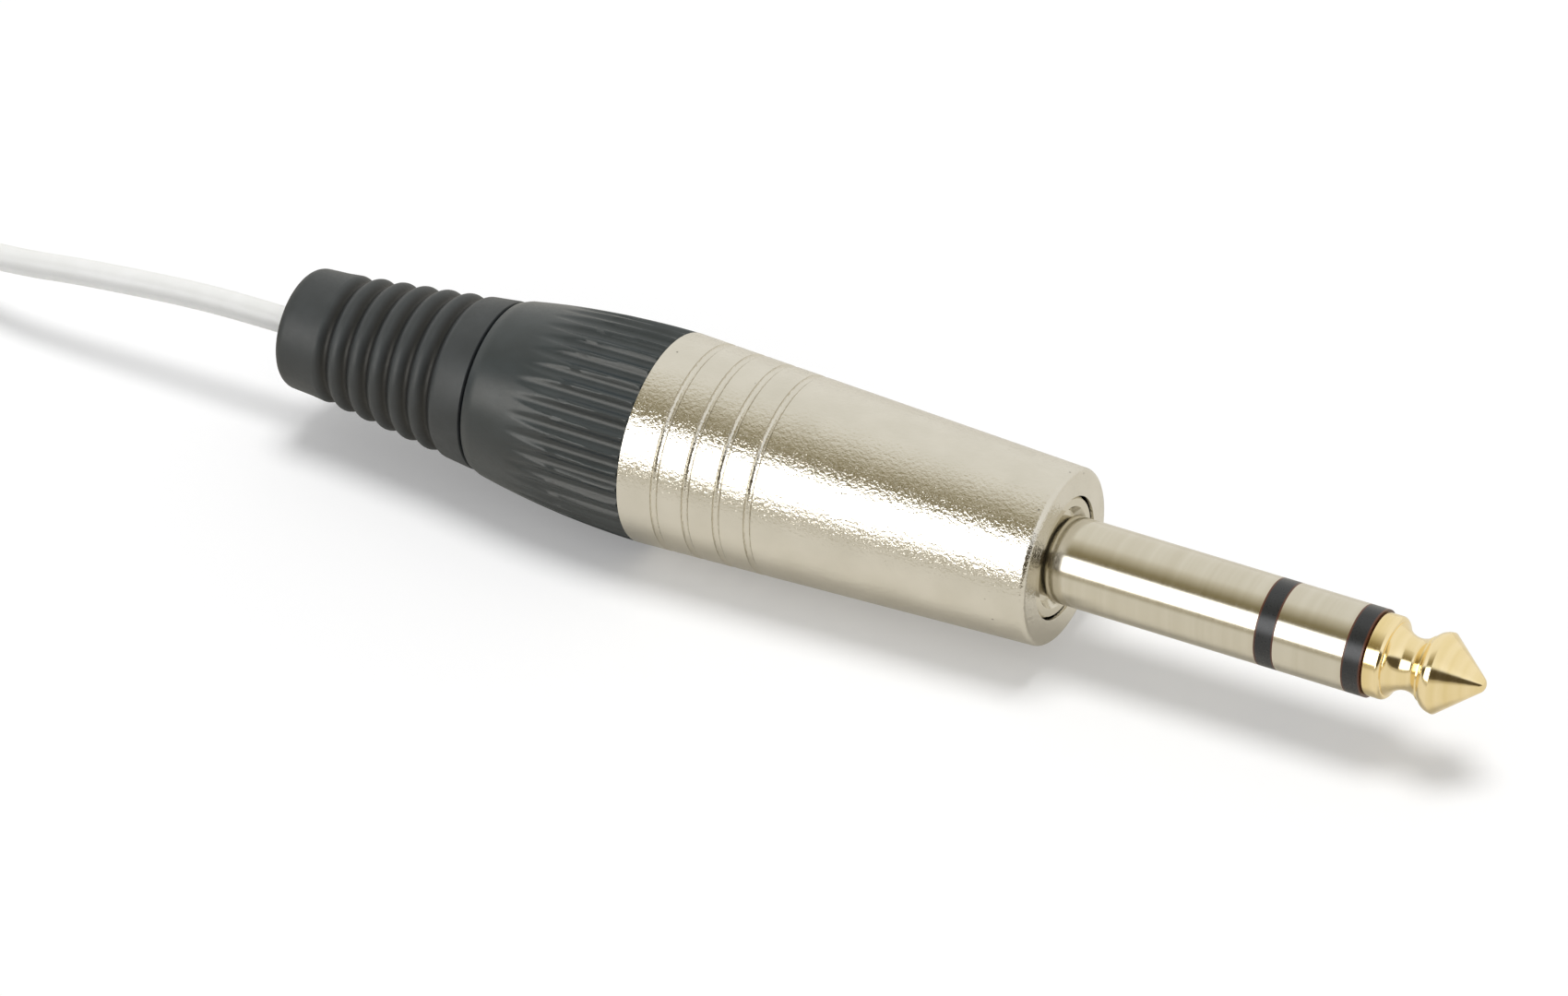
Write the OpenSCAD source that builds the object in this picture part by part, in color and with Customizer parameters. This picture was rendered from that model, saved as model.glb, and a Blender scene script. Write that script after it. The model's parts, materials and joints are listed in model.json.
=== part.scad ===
// Three-pole 6.35 mm jack plug lead. Stations run along the plug's axis, +X towards the tip.
// The origin is on that axis, at the shell's front face, and +Z is up.

/* [Jack shaft] */
// Diameter of the jack shaft
shaft_d = 6.35; // [6.3:0.01:6.4]
// Length from the shell's front face to the end of the tip
shaft_len = 32.3; // [31:0.05:33]
// Length of the band of the ring insulator
ring_insulator_len = 1.45; // [1:0.05:1.8]
// Length of the ring contact's band
ring_len = 5.2; // [4.5:0.1:5.8]
// Length of the band of the tip insulator
tip_insulator_len = 1.4; // [1:0.05:1.8]
// Diameter of the rod that runs back from the tip
rod_d = 2.0; // [1.6:0.1:2.2]
// Wall of each insulating or conducting tube round the rod
tube_wall = 0.43; // [0.38:0.01:0.45]
// Gap at which each tube slips over the one inside it
slip = 0.02; // [0.01:0.01:0.04]

/* [Tip] */
// Length of the tip in front of its insulator
tip_len = 8.15; // [7.9:0.05:8.4]
// Diameter of the plain land behind the throat
tip_land_d = 6; // [5.8:0.02:6.04]
// Length of that land
tip_land_len = 1; // [0.8:0.1:1.2]
// Radius that rounds the land down into the throat
tip_shoulder_r = 0.35; // [0.25:0.05:0.4]
// Diameter at the bottom of the throat
throat_d = 3.8; // [3.4:0.1:4.2]
// Radius of the throat's hollow
throat_r = 1.5; // [1.4:0.1:1.7]
// Distance from the insulator to the bottom of the throat
throat_at = 2.7; // [2.5:0.1:2.9]
// Diameter of the bead in front of the throat
bead_d = 5.87; // [5.7:0.01:6]
// Distance from the insulator to the bead's widest ring
bead_at = 4.95; // [4.7:0.05:5.2]
// Radius that rounds the bead's rear flank
bead_edge_r = 1.25; // [1:0.05:1.3]
// Diameter of the step where the throat meets that flank
bead_step_d = 4.7; // [4.5:0.1:4.9]
// Radius of the rounded nose
nose_r = 0.7; // [0.6:0.05:0.9]

/* [Collar and flange] */
// Diameter of the collar that fills the shell's front hole
collar_d = 8.86; // [8.6:0.02:8.9]
// How far the collar's face lies behind the shell's front face
collar_sink = 0.15; // [0.05:0.05:0.4]
// Outer diameter of the groove round the shaft in the collar's face
collar_groove_d = 7.5; // [7.1:0.1:7.9]
// Depth of that groove
collar_groove_depth = 0.6; // [0.3:0.1:0.9]
// Diameter of the shaft's relieved root, inside that groove
root_d = 5.9; // [5.7:0.02:6]
// How far that relief stands out of the shell's front face
root_out = 0.1; // [0.05:0.05:0.3]
// Thickness of the flange behind the shell's front wall
flange_t = 1.6; // [1.2:0.1:2]

/* [Shell] */
// Length of the shell
shell_len = 31.6; // [30:0.1:34]
// Diameter of the shell at its front face
shell_front_d = 13; // [12.6:0.1:13.4]
// Diameter of the shell at its rear end
shell_rear_d = 15.6; // [15.2:0.1:16.4]
// Radius of the shell's front edge
shell_edge_r = 0.45; // [0.2:0.05:0.6]
// Thickness of the shell's front wall
front_wall = 1.6; // [1.2:0.1:2]
// Diameter of the hole in the front wall
front_hole_d = 9.1; // [9:0.02:9.3]
// Diameter of the shell's main bore
shell_bore_d = 10.4; // [10.3:0.1:10.7]
// Diameter of the threaded mouth at the rear
mouth_d = 12.6; // [12.5:0.1:12.9]
// Depth of the threaded mouth
mouth_len = 6.6; // [6:0.1:7.5]
// Number of decorative grooves
shell_grooves = 4; // [2:1:5]
// Distance from the rear end to the first groove
shell_groove_at = 2.9; // [2:0.1:3.5]
// Distance from groove to groove
shell_groove_pitch = 2.44; // [2.2:0.02:3]
// Radius of the grooves' hollow
shell_groove_r = 0.3; // [0.3:0.02:0.6]
// Depth of the grooves
shell_groove_depth = 0.25; // [0.15:0.01:0.3]

/* [Nut] */
// Length of the nut between the shell and the boot
nut_len = 13.6; // [13:0.1:15]
// Diameter of the nut at the shell
nut_front_d = 15.58; // [15.3:0.02:16.2]
// Diameter of the nut at the boot
nut_rear_d = 12.6; // [12.2:0.1:12.8]
// Radius of the long barrel curve of the nut
nut_barrel_r = 70; // [60:1:90]
// Radius of the dome at the nut's rear
nut_dome_r = 11; // [10:0.5:12]
// Distance from the rear end to the middle of the dome's curve
nut_dome_at = 4.5; // [4:0.1:5]
// Number of flutes round the nut
flutes = 36; // [24:1:40]
// Radius of each flute's hollow
flute_r = 0.58; // [0.4:0.02:0.62]
// Depth of the flutes at the shell
flute_depth = 0.45; // [0.3:0.01:0.5]
// Slope of the flutes' bottom, which makes them run out on the dome
flute_slope = 1.2; // [0.8:0.1:1.6]
// Outer diameter of the threaded spigot, at the bottom of its thread
spigot_d = 11.9; // [11.6:0.1:12]
// Bore of the spigot
spigot_bore_d = 9.8; // [9.7:0.1:10.2]
// Length of the spigot inside the shell
spigot_len = 5.9; // [5.5:0.1:5.9]
// Gap between the nut and the shell's end
nut_gap = 0.1; // [0.05:0.05:0.2]
// Thickness of the web between the jaws and the boot
web_t = 1.6; // [1.2:0.1:2]
// Bore of that web
web_bore_d = 7.4; // [7:0.1:7.8]
// Diameter of the pocket that holds the boot's snap rim
pocket_d = 11.3; // [11.2:0.1:11.5]
// Length of that pocket
pocket_len = 2.7; // [2.5:0.1:3]
// Thickness of the lip behind the pocket
lip_t = 1.5; // [1.3:0.1:1.7]
// Bore of that lip
lip_bore_d = 9.8; // [9.7:0.1:10]
// Play of the boot's snap rim in front of the lip
snap_play = 0.2; // [0.1:0.05:0.3]

/* [Boot] */
// Length of the boot outside the nut
boot_len = 16.5; // [15.5:0.05:17.5]
// Diameter of the boot at the nut
boot_front_d = 12.7; // [12.4:0.02:12.8]
// Diameter of the boot where its rear collar starts
boot_waist_d = 9.3; // [9:0.1:9.6]
// Diameter of the boot at its rear end
boot_rear_d = 9.0; // [8.7:0.1:9.4]
// Length of the plain rear collar
boot_collar_len = 2.5; // [2:0.1:3]
// Radius of the rear collar's edge
boot_edge_r = 0.9; // [0.5:0.1:1.2]
// Number of rounded grooves
boot_grooves = 6; // [4:1:6]
// Distance from the rear end to the first groove
boot_groove_at = 4.4; // [4:0.1:4.6]
// Distance from groove to groove
boot_groove_pitch = 1.8; // [1.6:0.01:1.9]
// Radius of the grooves' hollow
boot_groove_r = 0.6; // [0.5:0.02:0.64]
// Depth of the grooves
boot_groove_depth = 0.6; // [0.4:0.02:0.62]
// Gap between the boot and the nut
boot_gap = 0.25; // [0.15:0.05:0.35]
// Diameter of the neck that runs through the nut's lip
boot_neck_d = 9.2; // [9:0.1:9.2]
// Diameter of the snap rim inside the nut
snap_d = 10.6; // [10.4:0.1:10.7]
// Thickness of the snap rim
snap_t = 1.4; // [1.2:0.1:1.6]
// Bore of the boot inside
boot_bore_d = 6.2; // [5.6:0.1:6.6]
// Bore of the boot where the cord comes out
cord_hole_d = 2.6; // [2.6:0.1:3]
// Length of that last bore
cord_hole_len = 4; // [3:0.1:5]

/* [Solder side] */
// Thickness of the solder lugs
lug_t = 0.4; // [0.3:0.05:0.5]
// Thickness of the washers between the lugs
washer_t = 0.7; // [0.6:0.05:0.9]
// Diameter of the sleeve lug's disc
sleeve_lug_d = 8.6; // [8.2:0.1:8.8]
// Gap between the washer under it and the sleeve lug's arm
washer_gap = 0.15; // [0.1:0.05:0.2]
// Diameter of the ring lug's disc
ring_lug_d = 6.8; // [6.4:0.1:7.2]
// Diameter of the tip lug's disc
tip_lug_d = 5.2; // [4.8:0.1:5.6]
// Width of the lugs' tongues
tongue_w = 1.8; // [1.5:0.1:2.2]
// Reach of the tip lug's tongue, as a share of the room in front of the cord
tip_tongue_share = 0.55; // [0.5:0.01:0.6]
// Reach of the ring lug's tongue, as a share of that room
ring_tongue_share = 0.63; // [0.6:0.01:0.66]
// Reach of the sleeve lug's straight arm, as a share of that room
arm_share = 0.6; // [0.58:0.01:0.65]
// Where the shield is soldered to that arm, as a share of that room
shield_share = 0.45; // [0.4:0.01:0.46]
// Width of the sleeve lug's arm
clamp_w = 2.6; // [2.2:0.1:2.8]
// Length of its crimp round the cord
crimp_len = 3; // [2.5:0.1:3.5]
// Diameter of the rivet heads behind the lugs
rivet_d = 3.0; // [2.8:0.1:3.4]
// Radius of the solder beads
solder_r = 0.95; // [0.8:0.05:1.1]
// Diameter of the insulated cores
core_d = 0.7; // [0.5:0.05:0.8]

/* [Liner and jaws] */
// Inner diameter of the insulating liner
liner_bore_d = 9.3; // [9.2:0.1:9.5]
// Gap between the liner, the jaws' ring and the shell's bore
liner_gap = 0.1; // [0.05:0.01:0.15]
// Length of the ring that carries the jaws
jaw_ring_len = 2.5; // [2:0.1:3]
// Play between the jaws' end and the web that closes them
jaw_gap = 0.5; // [0.3:0.1:0.8]
// Diameter of the jaws
jaw_d = 9.0; // [8.8:0.1:9.2]
// Length of the jaws' taper
jaw_taper_len = 3; // [2.5:0.1:3.5]
// Diameter at the end of that taper
jaw_end_d = 6.6; // [6.2:0.1:7]
// Bore of the jaws in front of the grip
jaw_bore_d = 6.8; // [6.4:0.1:7.2]
// Length of the jaws' grip on the cord
grip_len = 5; // [4:0.1:6]
// Width of the slots between the jaws
slot_w = 0.7; // [0.5:0.1:1]
// Length left whole between the slots and the ring
slot_end = 1.5; // [1:0.1:2]

/* [Cord] */
// Diameter of the cord's jacket
cord_d = 2.0; // [1.8:0.1:2.1]
// Gap between the cord and what grips it
grip_gap = 0.02; // [0.01:0.01:0.04]
// Distance from the liner's rear end to the jacket's cut end
strip_in = 2.5; // [2:0.1:3]

/* [Hank and far plug] */
// How far the far plug lies to the side of the first one's axis
far_y = 1.1; // [0.8:0.1:1.1]
// Distance from the hank's last fold to the far boot
tail_reach = 27; // [24:1:30]
// Radius of the innermost turn's middle line
turn_r = 6; // [5.5:0.1:6.5]
// Distance between the middles of the two folds
fold_len = 34; // [32:0.5:36]
// Turns that lie side by side
lanes = 2; // [2:1:2]
// Turns that lie on each other
layers = 4; // [3:1:4]
// Width of the tie
tie_w = 5; // [4:0.5:8]
// Thickness of the tie
tie_t = 0.5; // [0.4:0.1:0.8]

/* [Hidden] */

// Facets that round things are drawn with
round_fn = 96;
// Steps of the nut's curved outline, closest together on the dome
nut_steps = 12;
// Reach of a cut past the face that it opens
past = 0.5;

// Stations of the contacts
sleeve_len = shaft_len - tip_len - tip_insulator_len - ring_len - ring_insulator_len;
ring_insulator_x = sleeve_len;
ring_x = ring_insulator_x + ring_insulator_len;
tip_insulator_x = ring_x + ring_len;
tip_x = tip_insulator_x + tip_insulator_len;
// Stations of the tip's land, throat, bead and nose
tip_land_x = tip_x + tip_land_len;
throat_x = tip_x + throat_at;
bead_x = tip_x + bead_at;
nose_x = shaft_len - nose_r;
// Bevel on small turned edges
small_bevel = 0.12;
// Diameters of the tubes round the rod, from the inside out
tip_tube_d = rod_d + 2 * (slip + tube_wall);
ring_tube_d = tip_tube_d + 2 * (slip + tube_wall);
ring_insulator_tube_d = ring_tube_d + 2 * (slip + tube_wall);

// Stations of the solder side
flange_x = -front_wall;
flange_rear = flange_x - flange_t;
sleeve_lug_rear = flange_rear - lug_t;
ring_washer_rear = sleeve_lug_rear - washer_t;
ring_lug_rear = ring_washer_rear - lug_t;
tip_washer_rear = ring_lug_rear - washer_t;
tip_lug_rear = tip_washer_rear - lug_t;
// Height of the ring tube's rivet rim, sunk in the tip washer
rim_t = washer_t / 2 - 0.1;
rim_d = ring_tube_d + 0.9;

// Stations of the shell, the nut, the boot and the jaws
shell_rear = -shell_len;
mouth_x = shell_rear + mouth_len;
bore_fill_d = shell_bore_d - 2 * liner_gap;
liner_rear = mouth_x + jaw_ring_len;
nut_front = shell_rear - nut_gap;
nut_rear = nut_front - nut_len;
spigot_x = nut_front + spigot_len;
lip_x = nut_rear + lip_t;
pocket_x = lip_x + pocket_len;
cone_rear = pocket_x + web_t;
jaw_rear = cone_rear + jaw_gap;
boot_front = nut_rear - boot_gap;
boot_rear = boot_front - boot_len;
snap_x = lip_x + snap_play;

// The room in front of the cord's cut end, and where each solder bead sits in it
strip_x = liner_rear + strip_in;
solder_room = flange_rear - strip_x;
tip_tongue_rear = flange_rear - tip_tongue_share * solder_room;
ring_tongue_rear = flange_rear - ring_tongue_share * solder_room;
arm_rear = flange_rear - arm_share * solder_room;
bead_in = solder_r + 0.3;
tip_bead_x = tip_tongue_rear + bead_in;
tip_bead_z = tip_lug_d / 2;
ring_bead_x = ring_tongue_rear + bead_in;
ring_bead_z = -ring_lug_d / 2 + lug_t;
shield_bead_x = flange_rear - shield_share * solder_room;
arm_y = sleeve_lug_d / 2 - 0.2;
// How far behind its middle a bead ends at its core
bead_cut = 0.8 * solder_r;

// The surface that the lead lies on, below the plug's axis
floor_z = -shell_rear_d / 2;

// The hank's outline, from its turns
lane_pitch = cord_d + 0.05;
outer_y = turn_r + (lanes - 1) * lane_pitch;
hank_half = outer_y + cord_d / 2;
waist_half = (lanes - 0.5) * lane_pitch + cord_d / 2;
hank_low = floor_z + tie_t;
hank_high = hank_low + layers * cord_d;
waist_in = hank_half - waist_half;
waist_r = (pow(fold_len / 2, 2) + pow(waist_in, 2)) / (2 * waist_in);

// The cord's way from the boot down to the hank's lowest turn: distance behind the boot,
// then the shares of the way to the side and down
run_steps = [
    [0, 0, 0], [3.5, 0, 0], [7.5, 0, 0.015], [11.5, 0, 0.06], [15.5, 0, 0.125], [19.5, 0, 0.2],
    [23.5, 0.01, 0.3], [27.5, 0.07, 0.41], [31.5, 0.2, 0.53], [35.5, 0.39, 0.66], [39.5, 0.61, 0.78],
    [43.5, 0.81, 0.89], [47.5, 0.94, 0.97], [51.5, 1, 1]
];
run_route = [for (s = run_steps) [boot_rear - s[0], s[1] * outer_y, s[2] * (hank_low + cord_d / 2)]];
hank_x = run_route[len(run_route) - 1][0];

// From the hank's top turn to the far boot: shares of the way back and to the side, then the height
tail_steps = [
    [0, 0, 0.4], [0.15, 0.08, 0.4], [0.3, 0.28, 0.5], [0.44, 0.56, 0.6], [0.56, 0.78, 0.5],
    [0.67, 0.93, 0.3], [0.78, 1, 0.1], [0.89, 1, 0], [1, 1, 0]
];
tail_x = hank_x - fold_len;
tail_route = [for (s = tail_steps)
    [tail_x - s[0] * tail_reach, outer_y + s[1] * (far_y - outer_y), s[2] * (hank_high - cord_d / 2) / 0.4]];
// The far plug lies in line, turned round, with its boot towards the hank
far_x = tail_x - tail_reach + boot_rear;

// Sweep of a round cord along a route: rings of points, then the faces between them
function along(p, i) = p[min(i + 1, len(p) - 1)] - p[max(i - 1, 0)];
function unit(v) = v / norm(v);
function ring_at(p, i, r, n) =
    let (t = unit(along(p, i)), side = unit(cross([0, 0, 1], t)), up = cross(t, side))
    [for (k = [0:n - 1]) p[i] + r * (cos(360 * k / n) * side + sin(360 * k / n) * up)];

module swept(p, r, n = 8) {
    last = (len(p) - 1) * n;
    polyhedron(
        points = [for (i = [0:len(p) - 1]) each ring_at(p, i, r, n)],
        faces = concat(
            [[for (k = [0:n - 1]) k]],
            [for (i = [0:len(p) - 2]) for (k = [0:n - 1])
                [i * n + k, (i + 1) * n + k, (i + 1) * n + (k + 1) % n, i * n + (k + 1) % n]],
            [[for (k = [n - 1:-1:0]) last + k]]
        )
    );
}

// Turns an outline round the plug's axis: its X is the station and its Y is the radius
module turned(fn = round_fn) {
    rotate([0, 90, 0]) rotate_extrude($fn = fn) mirror([1, -1, 0]) children();
}

// A straight tube or disc between two stations
module tube(x0, x1, outer_d, inner_d = 0) {
    turned() translate([min(x0, x1), inner_d / 2]) square([abs(x1 - x0), (outer_d - inner_d) / 2]);
}

// The corner that a quarter round of radius r leaves at the front end of an edge
module front_corner(x, y, r) {
    difference() {
        translate([x - r, y - r]) square([r + past, r + past]);
        translate([x - r, y - r]) circle(r = r, $fn = 48);
    }
}

module rear_corner(x, y, r) {
    translate([2 * x, 0]) mirror([1, 0]) front_corner(x, y, r);
}

// The tip's outline from its insulator to its nose, before the throat is cut
module tip_outline() {
    land_r = tip_land_d / 2;
    shoulder_y = land_r - tip_shoulder_r;
    nose_angle = atan((bead_d / 2 - nose_r) / (nose_x - bead_x));
    polygon([
        [tip_x, 0], [tip_x, land_r - small_bevel], [tip_x + small_bevel, land_r], [tip_land_x, land_r],
        [tip_land_x, shoulder_y], [throat_x, shoulder_y], [throat_x, 0]
    ]);
    translate([tip_land_x, shoulder_y]) circle(r = tip_shoulder_r, $fn = 48);
    polygon([
        [throat_x, 0], [throat_x, bead_step_d / 2], [bead_x, bead_step_d / 2], [bead_x, bead_d / 2],
        [nose_x + nose_r * sin(nose_angle), nose_r * cos(nose_angle)], [nose_x, 0]
    ]);
    intersection() {
        translate([bead_x, bead_d / 2 - bead_edge_r]) circle(r = bead_edge_r, $fn = 64);
        translate([throat_x, 0]) square([bead_x - throat_x, bead_d]);
    }
    translate([nose_x, 0]) intersection() {
        circle(r = nose_r, $fn = 48);
        square(2 * nose_r);
    }
}

module tip_contact() {
    color("gold") {
        turned() difference() {
            tip_outline();
            translate([throat_x, throat_d / 2 + throat_r]) circle(r = throat_r, $fn = 64);
        }
        tube(tip_lug_rear - past, tip_x, rod_d);
        tube(tip_lug_rear - past, tip_lug_rear, rivet_d);
    }
}

module tip_insulator() {
    color("#26272a") turned() polygon([
        [tip_insulator_x, rod_d / 2 + slip], [tip_x, rod_d / 2 + slip],
        [tip_x, shaft_d / 2], [tip_insulator_x, shaft_d / 2],
        [tip_insulator_x, tip_tube_d / 2], [ring_lug_rear - rim_t, tip_tube_d / 2],
        [ring_lug_rear - rim_t, rod_d / 2 + slip]
    ]);
}

module ring_contact() {
    bore = tip_tube_d / 2 + slip;
    color("#c9c6b8") turned() polygon([
        [ring_lug_rear - rim_t, bore], [tip_insulator_x, bore], [tip_insulator_x, shaft_d / 2],
        [ring_x, shaft_d / 2], [ring_x, ring_tube_d / 2], [ring_lug_rear, ring_tube_d / 2],
        [ring_lug_rear, rim_d / 2], [ring_lug_rear - rim_t, rim_d / 2]
    ]);
}

module ring_insulator() {
    bore = ring_tube_d / 2 + slip;
    color("#26272a") turned() polygon([
        [sleeve_lug_rear, bore], [ring_x, bore], [ring_x, shaft_d / 2],
        [ring_insulator_x, shaft_d / 2], [ring_insulator_x, ring_insulator_tube_d / 2],
        [sleeve_lug_rear, ring_insulator_tube_d / 2]
    ]);
}

module sleeve_contact() {
    bore = ring_insulator_tube_d / 2 + slip;
    face = -collar_sink;
    color("#c9c6b8") turned() polygon([
        [flange_rear, bore], [sleeve_len, bore], [sleeve_len, shaft_d / 2],
        [root_out, shaft_d / 2], [root_out, root_d / 2], [face - collar_groove_depth, root_d / 2],
        [face - collar_groove_depth, shaft_d / 2 + 0.15],
        [face, collar_groove_d / 2], [face, collar_d / 2 - small_bevel], [face - small_bevel, collar_d / 2],
        [flange_x, collar_d / 2], [flange_x, bore_fill_d / 2], [flange_rear, bore_fill_d / 2]
    ]);
}

// A lug's disc, and a tongue that is bent back from its rim
module lug(x0, x1, disc_d, hole_d, tongue_rear) {
    tube(x0, x1, disc_d, hole_d);
    difference() {
        translate([tongue_rear, -tongue_w / 2, disc_d / 2 - lug_t])
            cube([x1 - tongue_rear, tongue_w, lug_t]);
        translate([tongue_rear + 0.9, 0, disc_d / 2 - lug_t - past])
            cylinder(d = 0.8, h = lug_t + 2 * past, $fn = 24);
    }
}

module sleeve_lug() {
    bore = ring_insulator_tube_d / 2 + slip;
    crimp_in = cord_d / 2 + grip_gap;
    crimp_out = crimp_in + lug_t;
    crimp_x = strip_x - 0.5;
    color("#c8b98e") {
        tube(sleeve_lug_rear, flange_rear, sleeve_lug_d, 2 * bore);
        translate([0, 0, -clamp_w / 2]) linear_extrude(clamp_w) polygon([
            [flange_rear, arm_y], [arm_rear, arm_y], [crimp_x, crimp_out],
            [crimp_x - crimp_len, crimp_out], [crimp_x - crimp_len, crimp_in],
            [crimp_x - lug_t / 2, crimp_in], [arm_rear - lug_t / 2, arm_y - lug_t],
            [flange_rear, arm_y - lug_t]
        ]);
        difference() {
            tube(crimp_x - crimp_len, crimp_x, 2 * crimp_out, 2 * crimp_in);
            translate([crimp_x - crimp_len - past, -2 * crimp_out, -0.2])
                cube([crimp_len + 2 * past, 2 * crimp_out, 0.4]);
        }
    }
}

module ring_washer() {
    color("#7a2f28")
        tube(ring_washer_rear, sleeve_lug_rear, 2 * (arm_y - lug_t - washer_gap), ring_tube_d + 2 * slip);
}

module ring_lug() {
    color("#c8b98e") rotate([180, 0, 0])
        lug(ring_lug_rear, ring_washer_rear, ring_lug_d, ring_tube_d + 2 * slip, ring_tongue_rear);
}

module tip_washer() {
    color("#7a2f28") turned() polygon([
        [tip_washer_rear, rod_d / 2 + slip], [ring_lug_rear - rim_t, rod_d / 2 + slip],
        [ring_lug_rear - rim_t, rim_d / 2 + slip], [ring_lug_rear, rim_d / 2 + slip],
        [ring_lug_rear, tip_lug_d / 2 + 0.3], [tip_washer_rear, tip_lug_d / 2 + 0.3]
    ]);
}

module tip_lug() {
    color("#c8b98e") lug(tip_lug_rear, tip_washer_rear, tip_lug_d, rod_d + 2 * slip, tip_tongue_rear);
}

// A bead of solder on a tongue, cut square where its core runs in
module solder_bead() {
    intersection() {
        sphere(r = solder_r, $fn = 48);
        translate([-bead_cut, -solder_r, 0]) cube([bead_cut + solder_r, 2 * solder_r, solder_r]);
    }
}

module tip_solder() {
    color("#b9bcc0") translate([tip_bead_x, 0, tip_bead_z]) solder_bead();
}

module ring_solder() {
    color("#b9bcc0") translate([ring_bead_x, 0, ring_bead_z]) solder_bead();
}

module shield_solder() {
    color("#b9bcc0") translate([shield_bead_x, arm_y - lug_t, 0]) rotate([90, 0, 0]) solder_bead();
}

// Each core leaves the cut jacket beside the axis and ends at its bead. Its route's stations are
// shares of the way from the cut to the bead
function to_bead(end_x, share) = strip_x + share * (end_x - strip_x);

module tip_core() {
    end_x = tip_bead_x - bead_cut;
    end_z = tip_bead_z + core_d / 2 + 0.02;
    color("#b5352b") swept([
        [strip_x, 0, 0.45], [to_bead(end_x, 0.12), 0, 0.5], [to_bead(end_x, 0.3), 0, 0.35 * end_z],
        [to_bead(end_x, 0.5), 0, 0.72 * end_z], [to_bead(end_x, 0.8), 0, end_z], [end_x, 0, end_z]
    ], core_d / 2);
}

module ring_core() {
    end_x = ring_bead_x - bead_cut;
    end_z = ring_bead_z + core_d / 2 + 0.02;
    color("#e8e6df") swept([
        [strip_x, 0, -0.45], [to_bead(end_x, 0.15), 0, -0.5], [to_bead(end_x, 0.4), 0, 0.5 * end_z],
        [to_bead(end_x, 0.75), 0, end_z], [end_x, 0, end_z]
    ], core_d / 2);
}

module shield_drain() {
    end_x = shield_bead_x - bead_cut;
    end_y = arm_y - lug_t - core_d / 2 - 0.02;
    color("#b87a4b") swept([
        [strip_x, -0.65, 0], [to_bead(end_x, 0.12), -0.9, 0], [to_bead(end_x, 0.4), -0.9, 0.2],
        [to_bead(end_x, 0.65), 0.4, 0.2], [to_bead(end_x, 0.84), end_y - 0.3, 0],
        [to_bead(end_x, 0.92), end_y, 0], [end_x, end_y, 0]
    ], core_d / 2 - 0.05);
}

module cord_jacket() {
    color("#ecebe6") tube(boot_rear, strip_x, cord_d);
}

module liner() {
    color("#d9d6cc") tube(liner_rear, flange_rear, bore_fill_d, liner_bore_d);
}

module jaws() {
    grip_bore = cord_d / 2 + grip_gap;
    grip_x = jaw_rear + grip_len;
    color("#3a3b3d") difference() {
        turned() polygon([
            [liner_rear, jaw_bore_d / 2], [liner_rear, bore_fill_d / 2], [mouth_x, bore_fill_d / 2],
            [mouth_x, jaw_d / 2], [jaw_rear + jaw_taper_len, jaw_d / 2], [jaw_rear, jaw_end_d / 2],
            [jaw_rear, grip_bore], [grip_x, grip_bore], [grip_x + 1.5, jaw_bore_d / 2]
        ]);
        for (turn = [0, 90])
            rotate([turn, 0, 0]) translate([jaw_rear - past, -slot_w / 2, -jaw_d])
                cube([mouth_x - jaw_rear - slot_end + past, slot_w, 2 * jaw_d]);
    }
}

function shell_r(x) = (shell_front_d + (shell_rear_d - shell_front_d) * -x / shell_len) / 2;

module shell() {
    color("#cfccc0") turned() difference() {
        polygon([
            [0, front_hole_d / 2], [0, shell_front_d / 2], [shell_rear, shell_rear_d / 2],
            [shell_rear, mouth_d / 2 + 0.2], [shell_rear + 0.2, mouth_d / 2], [mouth_x, mouth_d / 2],
            [mouth_x, shell_bore_d / 2], [flange_x, shell_bore_d / 2], [flange_x, front_hole_d / 2]
        ]);
        front_corner(0, shell_front_d / 2 + 0.02, shell_edge_r);
        for (i = [0:shell_grooves - 1]) {
            x = shell_rear + shell_groove_at + i * shell_groove_pitch;
            translate([x, shell_r(x) + shell_groove_r - shell_groove_depth])
                circle(r = shell_groove_r, $fn = 48);
        }
    }
}

// Radius of the nut along its length: a long barrel curve, then a dome at the rear
function nut_r(x) =
    let (
        dome_x = nut_rear + nut_dome_at,
        dome_y = nut_rear_d / 2 - sqrt(pow(nut_dome_r, 2) - pow(nut_dome_at, 2)),
        barrel = nut_front_d / 2 - nut_barrel_r + sqrt(pow(nut_barrel_r, 2) - pow(x - nut_front, 2)),
        dome = dome_y + sqrt(pow(nut_dome_r, 2) - pow(min(x - dome_x, 0), 2))
    )
    x > dome_x - 1 ? barrel : min(barrel, dome);

module nut_outline() {
    polygon([
        [nut_rear, 0],
        for (i = [0:nut_steps]) let (x = nut_rear + nut_len * pow(i / nut_steps, 1.5)) [x, nut_r(x)],
        [nut_front, spigot_d / 2], [spigot_x, spigot_d / 2], [spigot_x, 0]
    ]);
}

module nut() {
    color("#3b3e41") difference() {
        turned() difference() {
            nut_outline();
            polygon([
                [spigot_x + past, 0], [spigot_x + past, spigot_bore_d / 2],
                [cone_rear + jaw_taper_len, spigot_bore_d / 2], [cone_rear, web_bore_d / 2],
                [pocket_x, web_bore_d / 2],
                [pocket_x, pocket_d / 2], [lip_x, pocket_d / 2], [lip_x, lip_bore_d / 2],
                [nut_rear - past, lip_bore_d / 2], [nut_rear - past, 0]
            ]);
        }
        for (i = [0:flutes - 1])
            rotate([360 * (i + 0.5) / flutes, 0, 0])
                translate([nut_front + past, 0, nut_front_d / 2 - flute_depth + flute_r])
                    rotate([0, -90 - flute_slope, 0]) cylinder(r = flute_r, h = nut_len, $fn = 32);
    }
}

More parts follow.
